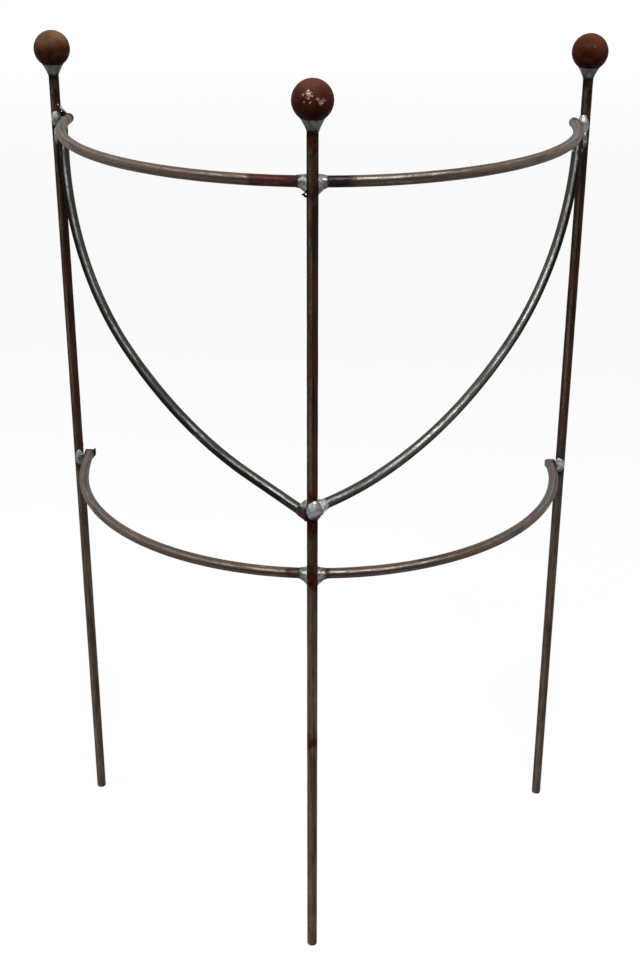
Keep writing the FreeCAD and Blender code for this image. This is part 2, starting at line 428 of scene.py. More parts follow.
def ballOxide(name, look):
    # forged ball: matt red-brown oxide, mottled, paler on top with painted light, darker towards the weld
    # with weld heat and painted shade underneath, with bright bare metal in its dents
    finish = Finish(name)
    place = finish.place()
    mottle = finish.noise(place, 140, 5, 0.6)
    colour = finish.blend(finish.ranged(mottle, 0.35, 0.65), look["deep"], look["warm"])
    patches = finish.ranged(finish.noise(place, 60), 0.35, 0.6, 0.45, 1.0)
    # painted light: paler on the upper half
    colour = finish.blend(finish.math("MULTIPLY", finish.mark("pale"), patches), colour, look["pale"])
    colour = finish.over(colour, finish.noise(place, 1300), 0.54, 0.72, 0.6, look["dark"])
    # darker towards the weld: weld heat together with painted shade underneath
    colour = finish.over(colour, finish.mark("scorch"), 0.0, 1.0, 0.95, look["dark"])
    broken = finish.ranged(finish.noise(place, 1100, 2), 0.44, 0.60, 0.05, 1.0)
    bare = finish.math("MULTIPLY", finish.mark("bare"), broken)
    colour = finish.blend(bare, colour, look["bare"])
    rough = finish.ranged(bare, 0.0, 1.0, look["rough"], 0.28)
    metal = finish.ranged(bare, 0.1, 0.9, 0.0, 0.9)
    normal = finish.bump(finish.noise(place, 700, 5, 0.6), 0.0002)
    normal = finish.bump(mottle, 0.0004, normal)
    return finish.close(colour, rough, metal, look["gloss"], normal)


def weldMetal(name, look):
    # bare weld metal: grey with silver and straw tints, painted glints, a painted highlight along the
    # shine mark, dark and dull at its toes
    finish = Finish(name)
    place = finish.place()
    shade = finish.noise(place, 260, 4)
    colour = finish.blend(finish.ranged(shade, *look["mottle"]), look["grey"], look["silver"])
    colour = finish.over(colour, finish.noise(place, 120, 2), 0.55, 0.75, 0.7, look["straw"])
    # painted glints: bright specks of near-white
    paintedGlints = finish.noise(place, 300, 2)
    colour = finish.over(colour, paintedGlints, 0.66, 0.80, 0.8, look["glintColour"])
    # painted highlight along the shine mark, in the glint colour
    shine = finish.math("MULTIPLY", finish.mark("shine"), finish.ranged(paintedGlints, 0.30, 0.55, 0.35, 1.0))
    colour = finish.blend(shine, colour, look["glintColour"])
    toe = finish.mark("toe")
    colour = finish.over(colour, toe, 0.15, 0.9, look["toeShare"], look["toe"])
    rough = finish.ranged(finish.noise(place, 900, 4), 0.3, 0.7, look["smoothest"], look["roughest"])
    dull = finish.math("SUBTRACT", 1.0, finish.math("MULTIPLY", toe, 0.85))
    metal = finish.math("MULTIPLY", dull, look["metallic"])
    normal = finish.bump(finish.noise(place, 1100, 4), 0.00010)
    normal = finish.bump(finish.noise(place, 330), look["uneven"], normal)
    return finish.close(colour, rough, metal, look["gloss"], normal)


# round bars

barGrid = {"rowStep": 0.0025, "sides": 40, "unevenness": 0.00004, "unevenWavelength": 0.03}


def barRows(length, startRound, endRound):
    # how far along the bar each row lies, and its radius; a quarter circle rounds each end over
    radius = size["barRadius"]
    quarter = np.linspace(0, np.pi / 2, 5)
    startReach, startDrop = startRound * (1 - np.cos(quarter)), startRound * (1 - np.sin(quarter))
    endReach, endDrop = endRound * (1 - np.cos(quarter)), endRound * (1 - np.sin(quarter))
    count = int((length - startRound - endRound) / barGrid["rowStep"])
    between = np.linspace(startRound, length - endRound, count)[1:-1]
    along = np.concatenate([[0], startReach, between, (length - endReach)[::-1], [length]])
    drop = np.concatenate([startDrop, 0 * between, endDrop[::-1]])
    radii = np.concatenate([[radius * 0.5], radius - drop, [radius * 0.5]])
    return along, radii


def sweepBar(centres, ahead, across, along, radii, sheared=None):
    # each point is its row's centre, plus the radius times the cosine of the angle towards one side
    # of the path and its sine towards the other; the bar's radius is a little uneven
    angles = np.linspace(0, 2 * np.pi, barGrid["sides"], endpoint=False)
    toSide = np.cross(across, ahead)
    uneven = wobble(centres, barGrid["unevenWavelength"], 5)[:, None] * np.cos(2 * angles)
    reach = radii[:, None] - barGrid["unevenness"] * (1 + uneven) * (radii[:, None] / size["barRadius"])
    wide, high = reach * np.cos(angles), reach * np.sin(angles)
    if sheared is not None:
        # a sheared end is pressed flat and a little wider: the section turns into a rounded box, whose
        # reach is the sum of the cosine and the sine, each to a high power, to a small negative power
        near = smoothStep(1 - np.minimum(along, along[-1] - along) / sheared["length"])[:, None]
        power = 1 + (sheared["squareness"] - 1) * near
        total = np.abs(np.cos(angles)) ** (2 * power) + np.abs(np.sin(angles)) ** (2 * power)
        boxed = total ** (-0.5 / power)
        wide = wide * boxed * (1 + (sheared["wider"] - 1) * near)
        high = high * boxed * (1 + (sheared["lower"] - 1) * near)
    grid = centres[:, None] + wide[..., None] * toSide[:, None] + high[..., None] * across
    flat = np.stack([wide, high, along[:, None] + 0 * wide], -1)
    return grid, flat


def spotMark(points, spots, raggedness, seed):
    # 1 in the middle of a spot, falling to 0 at its reach, with a ragged edge
    value = np.zeros(points.shape[:-1])
    ragged = np.clip(1 + raggedness * wobble(points, 0.012, seed), 0.5, 1.6)
    for centre, reach in spots:
        away = np.linalg.norm(points - np.array(centre), axis=-1)
        value = np.maximum(value, smoothStep(1.15 - away / (reach * ragged)))
    return value


def shineMark(normals, ahead, glare, halfWidth):
    # 1 where the bar's side faces the glare direction as nearly as its own direction allows, falling
    # to 0 at about the half width, in degrees; it places the painted highlights and the painted shade
    glare = np.array(glare)
    facing = glare - (ahead @ glare)[:, None] * ahead
    facing = facing / np.maximum(np.linalg.norm(facing, axis=1, keepdims=True), 0.05)
    angle = np.arccos(np.clip(np.einsum("ijk,ik->ij", normals, facing), -1, 1))
    return smoothStep(1.3 - np.degrees(angle) / halfWidth)


def makeBar(name, node, path, length, ends, material, wearAndPaintedLight, rustSpots, sheared=None):
    # the swept surface and its marks, with its painted highlight and painted shade; the pairs of
    # paleness and painted light are interpolated along the bar
    along, radii = barRows(length, *ends)
    centres, ahead, across = path(along)
    grid, flat = sweepBar(centres, ahead, across, along, radii, sheared)
    normals = grid - centres[:, None]
    normals = normals / np.linalg.norm(normals, axis=-1, keepdims=True)
    shares = (np.interp(along / length, *zip(*wearAndPaintedLight[key]))[:, None] for key in ("pale", "bright", "dim"))
    pale, bright, dim = shares
    marks = {
        "barSpace": flat,
        "scorch": spotMark(grid, heatSpots, 0.3, 11),
        "rust": spotMark(grid, rustSpots, 0.4, 12),
        "pale": np.repeat(pale, barGrid["sides"], axis=1),
        # painted highlight on the glare side and painted shade on the shade side
        "shine": shineMark(normals, ahead, *wearAndPaintedLight["glare"]) * bright,
        "shade": shineMark(normals, ahead, *wearAndPaintedLight["shade"]) * dim,
    }
    addPiece(name, [(grid, centres[0], centres[-1], marks)], material, "raw_bar", node)


def uprightPath(side):
    # a straight line: the foot plus the distance along
    def path(along):
        centres = size["feet"][side] + along[:, None] * up
        return centres, np.tile(up, (len(along), 1)), np.array([1.0, 0, 0])
    return path


def ringPoint(angle, level):
    # a circle: the radius times the sine of the angle to the right, and times its cosine to the front
    radius = size["ringRadius"]
    height = size["ringHeights"][level] + 0 * angle
    return np.stack([radius * np.sin(angle), size["ringCentreY"] - radius * np.cos(angle), height], -1)


ringSweep = np.pi + 2 * size["ringOverrun"]
# each ring's left end: how much further it runs past its upright than the right end does, how far it
# is bent up, and the stretch that is bent
ringSpare = {"top": 0.0050, "lower": 0.0030}
ringLift = {"top": 0.0, "lower": 0.0045}
ringLiftReach = 0.060


def ringPath(level):
    # the angle is the distance along over the radius; a smooth step lifts the left end
    def path(along):
        angle = (along - ringSpare[level]) / size["ringRadius"] - ringSweep / 2
        ahead = np.stack([np.cos(angle), np.sin(angle), 0 * angle], -1)
        lift = ringLift[level] * smoothStep(1 - along / ringLiftReach)[:, None] * up
        return ringPoint(angle, level) + lift, ahead, up
    return path


# the straight stretch below each brace's top, and the radius and degrees of its two bends
braces = {
    "left": {"topGap": 0.0002, "straight": 0.031, "bends": ((0.218, 54.0), (0.432, 27.0))},
    "right": {"topGap": 0.0002, "straight": 0.006, "bends": ((0.248, 51.0), (0.407, 37.5))},
}


def braceRun(side):
    # the brace's corners in its upright plane: where it starts, how far each stretch goes, and how
    # steeply it leaves each stretch
    brace = braces[side]
    foot, centreFoot = size["feet"][side], size["feet"]["centre"]
    reach = np.linalg.norm(centreFoot - foot)
    top = size["ringHeights"]["top"] - size["barRadius"] - brace["topGap"]
    out, height, heading = 2 * size["barRadius"], top - brace["straight"], 0.0
    marks, headings = [0.0, brace["straight"]], [0.0, 0.0]
    for radius, degrees in brace["bends"]:
        turned = heading + math.radians(degrees)
        out += radius * (math.cos(heading) - math.cos(turned))
        height -= radius * (math.sin(turned) - math.sin(heading))
        marks.append(marks[-1] + radius * math.radians(degrees))
        headings.append(turned)
        heading = turned
    rest = (reach - out) / math.sin(heading)
    marks.append(marks[-1] + rest)
    headings.append(heading)
    plan = (centreFoot - foot) / reach
    end = centreFoot + up * (height - rest * math.cos(heading))
    arriving = plan * math.sin(heading) - up * math.cos(heading)
    return {"foot": foot, "plan": plan, "top": top, "marks": marks, "headings": headings,
            "length": marks[-1], "end": end, "arriving": arriving}


runs = {side: braceRun(side) for side in braces}


def bracePath(side):
    run = runs[side]

    def path(along):
        # the heading grows evenly along each bend; its sine and cosine, summed, give the place
        fine = np.linspace(0, run["length"], 4001)
        middle = (fine[1:] + fine[:-1]) / 2
        heading = np.interp(middle, run["marks"], run["headings"])
        step = fine[1] - fine[0]
        out = np.concatenate([[0], np.cumsum(np.sin(heading)) * step]) + 2 * size["barRadius"]
        height = run["top"] - np.concatenate([[0], np.cumsum(np.cos(heading)) * step])
        out, height = np.interp(along, fine, out), np.interp(along, fine, height)
        turned = np.interp(along, run["marks"], run["headings"])[:, None]
        centres = run["foot"] + out[:, None] * run["plan"] + height[:, None] * up
        ahead = np.sin(turned) * run["plan"] - np.cos(turned) * up
        return centres, ahead, np.cross(run["plan"], up)
    return path, run["length"]


# where the welds lie, and the heat that they left in the bars

def atRing(side, level):
    return size["feet"][side] + up * size["ringHeights"][level]


leftEnds = {level: ringPath(level)(np.zeros(1))[0][0] for level in ("top", "lower")}
heatReach = {"neck": 0.012, "ringEnd": 0.015, "crossing": 0.026, "braceTop": 0.012, "braceFoot": 0.024,
             "rightOfCrossing": 0.019, "leftTopEnd": 0.009, "leftLowerEnd": 0.010, "frontBead": 0.014}

braceTopHeight = 0.774
heatSpots = []
for side in ("left", "centre", "right"):
    heatSpots.append((size["feet"][side] + up * (size["uprightTop"] - 0.010), heatReach["neck"]))
for level in ("top", "lower"):
    heatSpots.append((atRing("centre", level) + [0, 2 * size["barRadius"], 0], heatReach["crossing"]))
    for side in ("left", "right"):
        heatSpots.append((atRing(side, level), heatReach["ringEnd"]))
heatSpots.append((ringPoint(math.radians(5.0), "top"), heatReach["rightOfCrossing"]))
for run in runs.values():
    between = run["foot"] + run["plan"] * size["barRadius"]
    heatSpots.append((between + up * braceTopHeight, heatReach["braceTop"]))
heatSpots.append((leftEnds["top"] + up * 0.002, heatReach["leftTopEnd"]))
heatSpots.append((leftEnds["lower"] + [0.005, 0, 0], heatReach["leftLowerEnd"]))
heatSpots.append((runs["left"]["end"], heatReach["braceFoot"]))
heatSpots.append((runs["right"]["end"] + [0.006, 0, -0.014], heatReach["frontBead"]))

# rust spots on the bars: where, and how far each reaches
centreFront = size["feet"]["centre"] - [0, size["barRadius"], 0]
rustSpots = {
    "centre_upright": [
        (centreFront + up * 0.246 - [0.002, 0, 0], 0.011),
        (centreFront + up * 0.509, 0.008),
        (centreFront + up * 0.479, 0.007),
        (centreFront + up * 0.424, 0.009),
        (centreFront + up * 0.826, 0.007),
    ],
    "top_half_ring": [(ringPoint(math.radians(angle), "top"), 0.017) for angle in (-10.4, -7.8, -5.6)],
    "lower_half_ring": [(ringPoint(math.radians(-5.2), "lower"), 0.007)],
    "left_brace": [(runs["left"]["end"] - runs["left"]["arriving"] * 0.012, 0.008)],
    "right_upright": [(size["feet"]["right"] + up * 0.829 + [0.005, -0.003, 0], 0.006)],
}


# bars

# bare: the colour of real scuffs and of the painted highlight; shaded: how dark the painted shade gets
barLook = {
    "scale": (0.050, 0.045, 0.038), "bloom": (0.070, 0.044, 0.030), "dark": (0.006, 0.004, 0.003),
    "pale": (0.13, 0.112, 0.095), "tint": (0.150, 0.088, 0.074), "tintShare": 0.5, "bare": (0.60, 0.52, 0.45),
    "heatBrown": (0.040, 0.018, 0.010), "heatBlack": (0.004, 0.003, 0.003), "rustDeep": (0.020, 0.003, 0.002),
    "rustBright": (0.060, 0.010, 0.005), "wearAndPaintedLight": 0.85, "scuffed": 0.2, "shaded": 0.75, "smoothest": 0.42,
    "roughest": 0.58, "metallic": 0.02, "gloss": 0.10,
}
uprightLook = dict(
    barLook, scale=(0.007, 0.006, 0.003), bloom=(0.028, 0.007, 0.003), dark=(0.002, 0.001, 0.001),
    pale=(0.150, 0.110, 0.082), tint=(0.045, 0.016, 0.007), tintShare=0.6, shaded=0.5,
    rustBright=(0.065, 0.012, 0.004), wearAndPaintedLight=0.10, scuffed=0.1, gloss=0.03, metallic=0.0, smoothest=0.50,
    roughest=0.65)
braceLook = dict(
    barLook, scale=(0.030, 0.031, 0.027), bloom=(0.042, 0.040, 0.033), dark=(0.003, 0.003, 0.002),
    pale=(0.12, 0.11, 0.095), tint=(0.055, 0.055, 0.048), bare=(0.74, 0.72, 0.69), shaded=0.95,
    wearAndPaintedLight=1.0, gloss=0.02)
ringLook = dict(barLook, scale=(0.070, 0.056, 0.045), bloom=(0.095, 0.055, 0.038), scuffed=0.35)

uprightSteel = barSteel("uprightSteel", uprightLook)
braceSteel = barSteel("braceSteel", braceLook)
ringSteel = barSteel("ringSteel", ringLook)

# along each bar: how pale it is, how strong its painted highlight is and how dark its painted shade
# is; then the directions of the painted highlight and of the painted shade, each with its half width in
# degrees
uprightToneAndPaintedLight = {"pale": ((0, 1.0), (0.38, 0.85), (0.60, 0.12), (1, 0)), "bright": ((0, 1), (1, 1)),
               "dim": ((0, 0.7), (1, 0.7)), "glare": ((-0.40, -0.91, 0), 22), "shade": ((1, 0, 0), 40)}
ringToneAndPaintedLight = {"pale": ((0, 0.7), (0.12, 0.65), (0.3, 0.2), (0.7, 0.2), (0.88, 0.8), (1, 0.8)),
            "bright": ((0, 0.15), (0.30, 0.2), (0.38, 0.5), (0.48, 0.5), (0.53, 0.9), (0.62, 0.85),
                       (0.70, 0.2), (1, 0.15)),
            "dim": ((0, 0.0), (0.30, 0.1), (0.42, 0.9), (0.62, 0.9), (0.70, 0.2), (1, 0.0)),
            "glare": ((0, -0.78, 0.62), 12), "shade": ((0, -0.98, 0.20), 18)}
braceToneAndPaintedLight = {
    "left": {"pale": ((0, 0.1), (0.6, 0.15), (1, 0.0)), "bright": ((0, 0.9), (0.3, 0.3), (0.7, 0.5), (1, 1)),
             "dim": ((0, 1), (1, 1)),
             "glare": ((0.06, -0.82, 0.56), 12), "shade": ((-0.85, -0.52, -0.17), 62)},
    "right": {"pale": ((0, 0.3), (0.5, 0.7), (1, 0.1)), "bright": ((0, 0.6), (0.5, 0.7), (1, 1)),
              "dim": ((0, 1), (1, 1)),
              "glare": ((-0.05, -0.84, 0.53), 15), "shade": ((0.25, -0.70, -0.66), 44)},
}

footRound = 0.0004
for side in ("left", "centre", "right"):
    makeBar("upright_bar_" + side, side + "_upright", uprightPath(side), size["uprightTop"],
            (footRound, footRound), uprightSteel, uprightToneAndPaintedLight, rustSpots.get(side + "_upright", []))

ringEndRound = {"top": 0.0022, "lower": 0.0003}
shearedEnd = {"top": None, "lower": {"length": 0.011, "squareness": 3.0, "wider": 1.12, "lower": 0.82}}
for level in ("top", "lower"):
    node = level + "_half_ring"
    length = ringSweep * size["ringRadius"] + ringSpare[level]
    makeBar("half_ring_bar_" + level, node, ringPath(level), length, (ringEndRound[level],) * 2, ringSteel,
            ringToneAndPaintedLight, rustSpots.get(node, []), shearedEnd[level])

for side in ("left", "right"):
    path, length = bracePath(side)
    makeBar("brace_bar_" + side, side + "_brace", path, length, (footRound, footRound), braceSteel,
            braceToneAndPaintedLight[side], rustSpots.get(side + "_brace", []))
print("bars swept")


# balls

ballGrid = {"rows": 96, "columns": 192, "unevenness": 0.00003}
ballDents = {
    # azimuth to the right of the front and height above the middle, in degrees; radius and depth
    "left": [(-4.9, 19.5, 0.0016, 0.00012), (60, 40, 0.002, 0.00015)],
    "centre": [
        (-16.0, 29.0, 0.0020, 0.00040), (-8.0, 26.0, 0.0025, 0.00050), (-12.0, 16.0, 0.0016, 0.00040),
        (-27.0, 23.0, 0.0012, 0.00030), (-12.0, 35.0, 0.0013, 0.00030), (-1.0, 21.0, 0.0012, 0.00030),
        (16.0, 13.0, 0.0014, 0.00030), (26.0, 2.0, 0.0021, 0.00035), (20.0, 6.0, 0.0013, 0.00030),
        (33.0, 9.0, 0.0014, 0.00025), (-5.0, 4.0, 0.0011, 0.00020), (-22.0, 4.0, 0.0010, 0.00020),
    ],
    "right": [(6.3, 25.7, 0.0012, 0.00020)],
}
ballHeatAndShadeReach = 0.026
ballBare = {"left": 0.0, "centre": 0.6, "right": 0.2}
# pale: the colour of the painted light on each ball's top
ballLook = {
    "deep": (0.024, 0.004, 0.002), "warm": (0.044, 0.011, 0.006), "pale": (0.082, 0.030, 0.021),
    "dark": (0.003, 0.0006, 0.0004), "bare": (0.62, 0.52, 0.46), "rough": 0.55, "gloss": 0.02,
}
ballLooks = {
    "left": dict(ballLook, warm=(0.046, 0.016, 0.006), pale=(0.160, 0.088, 0.050)),
    "centre": ballLook,
    "right": dict(ballLook, warm=(0.052, 0.011, 0.004), pale=(0.084, 0.030, 0.015)),
}


def roundDirections(rows, columns, lowest):
    # unit directions: the sine of the angle from the top, times the cosine and sine of the turn
    polar = np.linspace(0, lowest, rows + 1)[1:, None]
    turn = np.linspace(0, 2 * np.pi, columns, endpoint=False)[None]
    sine = np.sin(polar)
    return np.stack([sine * np.cos(turn), sine * np.sin(turn), np.cos(polar) + 0 * turn], -1)


def makeBall(side):
    # the centre plus each direction times the radius, less the unevenness and the dents
    radius = size["ballRadius"]
    centre = size["feet"][side] + up * size["ballHeight"]
    lowest = np.pi - math.asin(size["barRadius"] / radius)
    directions = roundDirections(ballGrid["rows"], ballGrid["columns"], lowest)
    sink = ballGrid["unevenness"] * (1 + wobble(directions, 0.35, 21))
    bare = 0 * sink
    ragged = 1 + 0.35 * wobble(directions * radius, 0.0016, 22)
    for azimuth, height, dentRadius, depth in ballDents[side]:
        a, h = math.radians(azimuth), math.radians(height)
        middle = np.array([math.sin(a) * math.cos(h), -math.cos(a) * math.cos(h), math.sin(h)])
        share = 1 - np.linalg.norm(directions - middle, axis=-1) * radius / (dentRadius * ragged)
        sink = sink + depth * smoothStep(share)
        bare = np.maximum(bare, smoothStep(share * 2.2) * ballBare[side])
    grid = centre + directions * (radius - sink)[..., None]
    # darker towards the weld: weld heat together with painted shade underneath; paler on top: painted light
    scorch = spotMark(grid, [(centre - up * radius, ballHeatAndShadeReach)], 0.12, 23)
    marks = {"bare": bare, "scorch": scorch, "pale": smoothStep(directions[..., 2] + 0.05)}
    flatMiddle = size["feet"][side] + up * size["uprightTop"]
    shell = grid, centre + up * (radius - ballGrid["unevenness"]), flatMiddle, marks
    oxide = ballOxide("ballOxide_" + side, ballLooks[side])
    addPiece("ball_top_" + side, [shell], oxide, "ball_oxide", side + "_ball")


for side in ("left", "centre", "right"):
    makeBall(side)
print("balls turned")


# welds

weldLook = {
    "grey": (0.070, 0.073, 0.070), "silver": (0.20, 0.205, 0.205), "straw": (0.12, 0.085, 0.055),
    "glintColour": (0.75, 0.74, 0.70), "toe": (0.012, 0.009, 0.007), "toeShare": 0.9, "smoothest": 0.28,
    "roughest": 0.46, "metallic": 0.6, "uneven": 0.0003, "gloss": 0.05, "mottle": (0.40, 0.62),
}
dullWeld = weldMetal("dullWeld", dict(weldLook, grey=(0.060, 0.062, 0.055), silver=(0.135, 0.139, 0.127),
                                      glintColour=(0.16, 0.16, 0.15), metallic=0.35))
weldSteel = weldMetal("weldSteel", weldLook)
brightWeld = weldMetal("brightWeld", dict(weldLook, grey=(0.12, 0.127, 0.132), silver=(0.27, 0.288, 0.296),
                                          metallic=0.75, uneven=0.00008, toe=(0.030, 0.010, 0.005),
                                          toeShare=1.0, mottle=(0.34, 0.70)))

neck = {"wide": 0.0104, "narrow": 0.0051, "length": 0.0110, "hollow": 1.2, "rows": 44, "columns": 96,
        "ripple": 0.00008, "ragged": 0.0007, "tuck": 0.0012}


def makeNeckWeld(side):
    # turned about the bar: a lip on the ball, a hollow flank and a ragged lower edge; the radius falls
    # from wide to narrow with a power of the share still to go
    ball = size["feet"][side] + up * size["ballHeight"]
    top = -math.sqrt(size["ballRadius"] ** 2 - neck["wide"] ** 2)
    share = np.linspace(0, 1, neck["rows"])[:, None]
    turn = np.linspace(0, 2 * np.pi, neck["columns"], endpoint=False)[None]
    around = np.stack([np.cos(turn), np.sin(turn), 0 * turn], -1)
    seed = {"left": 31, "centre": 32, "right": 33}[side]
    ragged = neck["ragged"] * wobble(around * 0.008, 0.009, seed)
    flank = neck["narrow"] + (neck["wide"] - neck["narrow"]) * (1 - share) ** neck["hollow"]
    reach = flank + neck["ripple"] * np.sin(share * 2 * np.pi * 6 + 1.5 * np.sin(turn))
    height = top - share * (neck["length"] + ragged)
    # two more rows tuck the lip into the ball, and one tucks the lower edge into the bar
    tuck = neck["tuck"]
    reach = np.concatenate([reach[:1] - tuck, reach[:1] - 0.2 * tuck, reach, reach[-1:] - tuck])
    height = np.concatenate([height[:1] + tuck, height[:1] + 0.2 * tuck, height, height[-1:] - 0.3 * tuck])
    grid = ball + np.stack([reach * np.cos(turn), reach * np.sin(turn), height], -1)
    toe = np.maximum(1 - share * 12, (share - 0.55) * 2.2) + 0.25 * wobble(around * 0.008, 0.006, seed + 5)
    marks = {"toe": np.clip(np.concatenate([toe[:1], toe[:1], toe, toe[-1:]]), 0, 1)}
    marks["shine"] = 0 * marks["toe"]
    poles = ball + up * height[0].mean(), ball + up * height[-1].mean()
    addPiece("neck_weld_" + side, [(grid, *poles, marks)], dullWeld, "weld_metal", side + "_neck_weld")


# the painted highlight on each lump: the direction its bright side faces, and its strength
beadGlare = {"towards": (-0.25, -0.68, 0.69), "strength": 0.20}
beadGrid = {"rows": 56, "columns": 72, "ripplePitch": 0.0021, "ripple": 0.00014, "lump": 0.07}


def beadShell(centre, spans, crown, seed, dark=None, lump=beadGrid["lump"], toeDepth=1.0, darkShare=0.6):
    # a lump: its spans times a unit direction, swollen by smooth noise and by crescent ripples
    # whose phase grows with the height and with the distance from the crown; the toe mark is high away
    # from the crown and towards the dark side, and the shine mark is a painted highlight where the lump faces
    # the glare
    directions = roundDirections(beadGrid["rows"], beadGrid["columns"], np.pi * 0.97)
    swell = 1 + lump * wobble(directions, 1.1, seed)
    crown = np.array(crown) / np.linalg.norm(crown)
    facing = directions @ crown
    phase = (directions[..., 2] * spans[2] + 0.0025 * (1 - facing)) / beadGrid["ripplePitch"]
    ripple = beadGrid["ripple"] * np.cos(2 * np.pi * phase)
    grid = directions * (np.array(spans) * swell[..., None] + ripple[..., None])
    toe = smoothStep((0.45 - facing) / 0.6) * toeDepth
    if dark is not None:
        toe = np.maximum(toe, smoothStep((directions @ np.array(dark)) * 1.6 - 0.2) * darkShare)
    # painted highlight where the lump faces the glare
    shine = smoothStep((directions @ np.array(beadGlare["towards"]) - 0.74) / 0.24) * beadGlare["strength"]
    marks = {"toe": toe, "shine": shine}
    return centre + grid, centre + grid[0].mean(0), centre + grid[-1].mean(0), marks


ringBeadForward = 0.0037
ringBeadMetal = {"left": weldSteel, "right": brightWeld}
ringBeads = {
    ("left", "top"): {"radius": 0.0047, "inward": 0.0008, "half": 0.0080, "rise": 0.0014},
    ("right", "top"): {"radius": 0.0053, "inward": 0.0024, "half": 0.0103, "rise": -0.0006},
    ("left", "lower"): {"radius": 0.0047, "inward": 0.0010, "half": 0.0094, "rise": 0.0046},
    ("right", "lower"): {"radius": 0.0050, "inward": 0.0014, "half": 0.0083, "rise": 0.0022},
}


def outOf(side):
    # the direction away from the rings' axis at an outer upright
    plan = size["feet"][side] - np.array([0, size["ringCentreY"], 0])
    return plan / np.linalg.norm(plan)


def forwardOf(side):
    # the direction along the rings, towards the front, at an outer upright
    return np.cross(outOf(side), up) if side == "right" else np.cross(up, outOf(side))


def makeRingBead(side, level):
    # an upright lump where a ring's end meets its upright
    bead = ringBeads[side, level]
    forward = forwardOf(side)
    centre = atRing(side, level) + forward * ringBeadForward - outOf(side) * bead["inward"]
    spans = (bead["radius"], bead["radius"], bead["half"])
    seed = 40 + 2 * (side == "right") + (level == "top")
    shell = beadShell(centre + up * bead["rise"], spans, forward, seed, (0, 0, -1))
    addPiece("ring_weld_" + level + "_" + side, [shell], ringBeadMetal[side], "weld_metal",
             side + "_" + level + "_ring_weld")


# sleeves of weld metal: the root radius they rise from, within the rising share of their length,
# the edge share past which they sink back into the bar, and the strength of their painted highlight
sleeveGrid = {"rows": 44, "columns": 96, "ripple": 0.00008, "lump": 0.045, "root": 0.0035, "rising": 0.16,
              "edge": 0.82, "ragged": 0.10, "closing": 0.08, "sunk": 0.0044, "shine": 0.8}


def sleeveShell(centres, ahead, front, lobes, weld, seed):
    # a sleeve round a bar: its radius falls from its start value to its end value with a power of
    # the share still to go; each lobe adds to the start value in its own direction, ripples and
    # smooth noise make it uneven, and its far edge is ragged
    rows = len(centres)
    share = np.linspace(0, 1, rows)[:, None]
    turn = np.linspace(0, 2 * np.pi, sleeveGrid["columns"], endpoint=False)[None]
    top = np.cross(front, ahead)
    circle = np.cos(turn)[..., None] * front[:, None] + np.sin(turn)[..., None] * top[:, None]
    around = circle * 0.006
    startRadius, endRadius = weld["radii"]
    swell = startRadius - endRadius + 0 * turn
    webbed = 0 * turn
    for degrees, height, sharpness in lobes:
        lobe = np.clip(np.cos(turn - math.radians(degrees)), 0, 1) ** sharpness
        swell = swell + height * lobe
        webbed = np.maximum(webbed, smoothStep(lobe * 1.8 - 0.5) * (sharpness > 2))
    flank = endRadius + swell * (1 - share) ** weld["hollow"]
    rough = 1 + sleeveGrid["lump"] * wobble(around + centres[:, None], 0.007, seed)
    reach = flank * rough + sleeveGrid["ripple"] * np.cos(share * rows / 4.0 + 0.9 * np.cos(turn))
    rising = smoothStep(share / sleeveGrid["rising"])
    reach = sleeveGrid["root"] + (reach - sleeveGrid["root"]) * rising
    edge = sleeveGrid["edge"] + sleeveGrid["ragged"] * wobble(around[-1:] + centres[-1], 0.007, seed + 100)
    close = np.clip((share - edge) / sleeveGrid["closing"], 0, 1)
    reach = reach - close ** 2 * (reach - sleeveGrid["sunk"])
    surface = centres[:, None] + circle * reach[..., None]
    toe = np.clip(share * 2.4 - 1.4, 0, 1) + 0 * turn
    toe = np.maximum(toe, weld["brown"] * (1 - webbed))
    # a patchy painted highlight where the sleeve faces its glare direction
    patchy = 0.15 + 0.85 * smoothStep(0.4 + wobble(around + centres[:, None], 0.004, seed + 200))
    shine = shineMark(circle, ahead, *weld["glare"]) * patchy * sleeveGrid["shine"]
    return surface, centres[0], centres[-1], {"toe": toe, "shine": shine}


# glare: the direction and half width of the fillets' painted highlight
crossing = {"start": 0.0020, "length": 0.0118, "radii": (0.0068, 0.0054), "hollow": 2.0, "brown": 0.0,
            "lobes": ((0, 0.0034, 1.5), (-64, 0.0074, 4), (75, 0.0006, 2)), "glare": ((0, -0.85, 0.52), 12)}


def makeCrossingWeld(side, level):
    # a sleeve round the ring that starts beside the centre upright
    mirror = -1 if side == "left" else 1
    reach = crossing["start"] + np.linspace(0, crossing["length"], sleeveGrid["rows"])
    angle = mirror * reach / size["ringRadius"]
    ahead = mirror * np.stack([np.cos(angle), np.sin(angle), 0 * angle], -1)
    front = np.stack([np.sin(angle), -np.cos(angle), 0 * angle], -1)
    lobes = [(mirror * degrees, height, sharp) for degrees, height, sharp in crossing["lobes"]]
    seed = 50 + mirror + 3 * (level == "top")
    shell = sleeveShell(ringPoint(angle, level), ahead, front, lobes, crossing, seed)
    addPiece("crossing_weld_" + level + "_" + side, [shell], weldSteel, "weld_metal",
             "centre_" + level + "_" + side + "_weld")


braceTopBead = {"radius": 0.0028, "out": 0.0039, "half": 0.0090, "drop": 0.0145}


